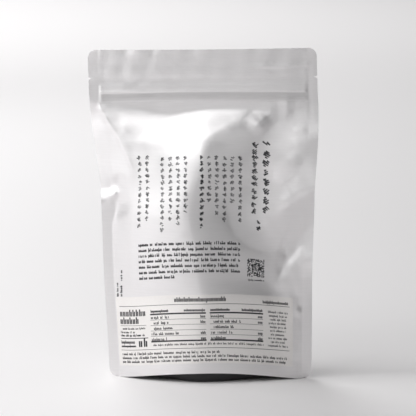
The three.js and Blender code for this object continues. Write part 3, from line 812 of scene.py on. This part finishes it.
def makeGrain():
    # fine lines drawn out along some axes, soft blotches and a normal from both, on the object's coordinates
    group = bpy.data.node_groups.new("grain", "ShaderNodeTree")
    for name, way, kind in (
        ("Line Stretch", "INPUT", "NodeSocketVector"), ("Blotch Scale", "INPUT", "NodeSocketFloat"),
        ("Line Bump", "INPUT", "NodeSocketFloat"), ("Blotch Bump", "INPUT", "NodeSocketFloat"),
        ("Lines", "OUTPUT", "NodeSocketFloat"), ("Blotches", "OUTPUT", "NodeSocketFloat"),
        ("Normal", "OUTPUT", "NodeSocketVector"),
    ):
        group.interface.new_socket(name=name, in_out=way, socket_type=kind)
    nodes, links = group.nodes, group.links
    given, result = nodes.new("NodeGroupInput"), nodes.new("NodeGroupOutput")
    place = nodes.new("ShaderNodeTexCoord")
    stretch = nodes.new("ShaderNodeVectorMath")
    stretch.operation = "MULTIPLY"
    links.new(place.outputs["Object"], stretch.inputs[0])
    links.new(given.outputs["Line Stretch"], stretch.inputs[1])
    lines, blotches = nodes.new("ShaderNodeTexNoise"), nodes.new("ShaderNodeTexNoise")
    links.new(stretch.outputs[0], lines.inputs["Vector"])
    lines.inputs["Scale"].default_value = 1
    lines.inputs["Detail"].default_value = 3
    links.new(place.outputs["Object"], blotches.inputs["Vector"])
    links.new(given.outputs["Blotch Scale"], blotches.inputs["Scale"])
    blotches.inputs["Detail"].default_value = 2
    wide, fine = nodes.new("ShaderNodeBump"), nodes.new("ShaderNodeBump")
    for bump, height, strength in ((wide, blotches, "Blotch Bump"), (fine, lines, "Line Bump")):
        bump.inputs["Distance"].default_value = mm
        links.new(height.outputs["Fac"], bump.inputs["Height"])
        links.new(given.outputs[strength], bump.inputs["Strength"])
    links.new(wide.outputs["Normal"], fine.inputs["Normal"])
    links.new(lines.outputs["Fac"], result.inputs["Lines"])
    links.new(blotches.outputs["Fac"], result.inputs["Blotches"])
    links.new(fine.outputs["Normal"], result.inputs["Normal"])
    return group


grain = makeGrain()

finishes = {  # two colours, two roughnesses, how fine the lines are along x, y and z, blotches and bumps
    "silverFilm": {
        "dark": (0.78, 0.768, 0.773), "light": (0.84, 0.826, 0.832), "rough": (0.3, 0.37), "metallic": 0.9,
        "stretch": (90, 90, 1500), "blotches": 110, "lineBump": 0.018, "blotchBump": 0.08,
    },
    # the gusset's near-black colour is painted shade: the shade under the pouch's raised skirt
    "paintedShadeFilm": {
        "dark": (0.009, 0.009, 0.01), "light": (0.016, 0.015, 0.016), "rough": (0.42, 0.58), "metallic": 0,
        "stretch": (160, 160, 900), "blotches": 140, "lineBump": 0.02, "blotchBump": 0.2,
    },
    "labelPaper": {
        "dark": (0.83, 0.805, 0.79), "light": (0.89, 0.87, 0.855), "rough": (0.38, 0.46), "metallic": 0.62,
        "stretch": (900, 900, 1300), "blotches": 60, "lineBump": 0.03, "blotchBump": 0.12,
    },
    "printInk": {
        "dark": (0.02, 0.02, 0.022), "light": (0.04, 0.04, 0.044), "rough": (0.4, 0.6), "metallic": 0,
        "stretch": (1500, 1500, 1500), "blotches": 300, "lineBump": 0.02, "blotchBump": 0.1,
    },
}
noiseSpan = (0.3, 0.7)  # where most of the noise lies


def makeMaterial(name):
    # grain lines run the colour from dark to light, blotches run the roughness between its two values
    look = finishes[name]
    material, shader = newMaterial(name)
    nodes, links = material.node_tree.nodes, material.node_tree.links
    surface = nodes.new("ShaderNodeGroup")
    surface.node_tree = grain
    for socket, value in (
        ("Line Stretch", "stretch"), ("Blotch Scale", "blotches"),
        ("Line Bump", "lineBump"), ("Blotch Bump", "blotchBump"),
    ):
        surface.inputs[socket].default_value = look[value]
    colour = nodes.new("ShaderNodeMix")
    colour.data_type = "RGBA"
    colour.inputs["A"].default_value = (*look["dark"], 1)
    colour.inputs["B"].default_value = (*look["light"], 1)
    spread = nodes.new("ShaderNodeMapRange")
    spread.inputs["From Min"].default_value, spread.inputs["From Max"].default_value = noiseSpan
    spread.inputs["To Min"].default_value, spread.inputs["To Max"].default_value = look["rough"]
    links.new(surface.outputs["Lines"], colour.inputs["Factor"])
    links.new(colour.outputs["Result"], shader.inputs["Base Color"])
    links.new(surface.outputs["Blotches"], spread.inputs["Value"])
    links.new(spread.outputs["Result"], shader.inputs["Roughness"])
    links.new(surface.outputs["Normal"], shader.inputs["Normal"])
    shader.inputs["Metallic"].default_value = look["metallic"]
    return material


def makeSilver():
    # the film's colour is darkened where the mesh's attribute marks painted shade below the zip's ridge
    material = makeMaterial("silverFilm")
    nodes, links = material.node_tree.nodes, material.node_tree.links
    baseColour = nodes["Principled BSDF"].inputs["Base Color"]
    paintedZipShade, shadeMix = nodes.new("ShaderNodeAttribute"), nodes.new("ShaderNodeMix")
    paintedZipShade.attribute_name = "paintedZipShade"
    shadeMix.data_type, shadeMix.blend_type = "RGBA", "MULTIPLY"
    shadeMix.inputs["B"].default_value = (*[zipStrip["shade"]["deep"]] * 3, 1)
    links.new(baseColour.links[0].from_socket, shadeMix.inputs["A"])
    links.new(paintedZipShade.outputs["Fac"], shadeMix.inputs["Factor"])
    links.new(shadeMix.outputs["Result"], baseColour)
    return material


ink = makeMaterial("printInk")
makeBody(makeSilver())
# the gusset is silver film like the rest; its near-black colour is painted shade under the skirt
makeGusset(makeMaterial("paintedShadeFilm"))
makeLabel(makeMaterial("labelPaper"))
print("pouch made")
makeFilmPrint(ink)
makeLabelPrint(ink)
print("print made")

camera = {  # metres and degrees; span is the width of the view at the aim
    "distance": 2.0, "azimuth": 3.7, "elevation": 8.0, "aim": (0.0030, 0.0, 0.1052), "span": 0.2553,
    "sensor": 36, "clipEnd": 20,
}


def makeCamera():
    data = bpy.data.cameras.new("camera")
    data.sensor_width = camera["sensor"]
    data.lens = camera["sensor"] * camera["distance"] / camera["span"]
    data.clip_end = camera["clipEnd"]
    eye = bpy.data.objects.new("camera", data)
    scene.collection.objects.link(eye)
    turn, rise = math.radians(camera["azimuth"]), math.radians(camera["elevation"])
    back = np.array([math.sin(turn) * math.cos(rise), -math.cos(turn) * math.cos(rise), math.sin(rise)])
    eye.location = np.array(camera["aim"]) + back * camera["distance"]
    eye.rotation_euler = (math.radians(90) - rise, 0, turn)
    scene.camera = eye


studio = {  # metres and watts; the last two lamps are aimed at the floor behind the pouch
    "world": 0.02, "aim": (0, 0, 0.1),
    "lights": (
        {"name": "key", "at": (-1.45, -0.39, 1.27), "size": (0.7, 0.9), "power": 15.8},
        {"name": "highLeft", "at": (-1.0, -1.11, 1.27), "size": (0.95, 0.95), "power": 6.5},
        {"name": "highFront", "at": (-0.31, -1.46, 1.27), "size": (0.95, 0.95), "power": 4.8},
        {"name": "leftBox", "at": (-1.52, -1.07, 0.5), "size": (0.8, 0.85), "power": 2.6},
        {"name": "leftFront", "at": (-1.07, -1.52, 0.5), "size": (0.8, 0.85), "power": 2.7},
        {"name": "nearFront", "at": (-0.13, -1.85, 0.5), "size": (0.8, 0.85), "power": 1.1},
        {"name": "nearRight", "at": (0.32, -1.83, 0.5), "size": (0.8, 0.85), "power": 0.7},
        {"name": "rightFill", "at": (0.87, -1.64, 0.5), "size": (0.8, 0.85), "power": 1.0},
        {"name": "sideBack", "at": (-1.3, 0.23, 0.8), "size": (0.9, 0.9), "power": 6.0},
        {"name": "backLeft", "at": (-0.66, 1.15, 0.8), "size": (0.9, 0.9), "power": 2.7},
        {"name": "floorNear", "at": (-1.2, 2.0, 1.5), "aim": (-0.2, 1.8, 0),
         "size": (1.4, 1.4), "power": 19.2},
        {"name": "floorFar", "at": (-0.9, 3.2, 1.6), "aim": (0, 2.8, 0),
         "size": (1.6, 1.6), "power": 30.5},
    ),
    "floor": {"half": 7.0, "colour": (0.9, 0.885, 0.89), "rough": 0.7},
}


def makeLights():
    for spec in studio["lights"]:
        data = bpy.data.lights.new(spec["name"], "AREA")
        data.shape = "RECTANGLE"
        data.size, data.size_y = spec["size"]
        data.energy = spec["power"]
        lamp = bpy.data.objects.new(spec["name"], data)
        scene.collection.objects.link(lamp)
        lamp.location = spec["at"]
        aim = Vector(spec.get("aim", studio["aim"]))
        lamp.rotation_euler = (aim - lamp.location).to_track_quat("-Z", "Y").to_euler()
    world = bpy.data.worlds.new("studioWorld")
    world.use_nodes = True
    world.node_tree.nodes["Background"].inputs["Color"].default_value = (*[studio["world"]] * 3, 1)
    scene.world = world


def makeFloor():
    half = studio["floor"]["half"]
    corners = [(-half, -half, 0), (half, -half, 0), (half, half, 0), (-half, half, 0)]
    mesh = bpy.data.meshes.new("floor")
    mesh.from_pydata(corners, [], [(0, 1, 2, 3)])
    material, shader = newMaterial("floor")
    shader.inputs["Base Color"].default_value = (*studio["floor"]["colour"], 1)
    shader.inputs["Roughness"].default_value = studio["floor"]["rough"]
    mesh.materials.append(material)
    floor = bpy.data.objects.new("floor", mesh)
    scene.collection.objects.link(floor)


makeCamera()
makeLights()
makeFloor()
scene.view_settings.view_transform = "Standard"
print("studio made")
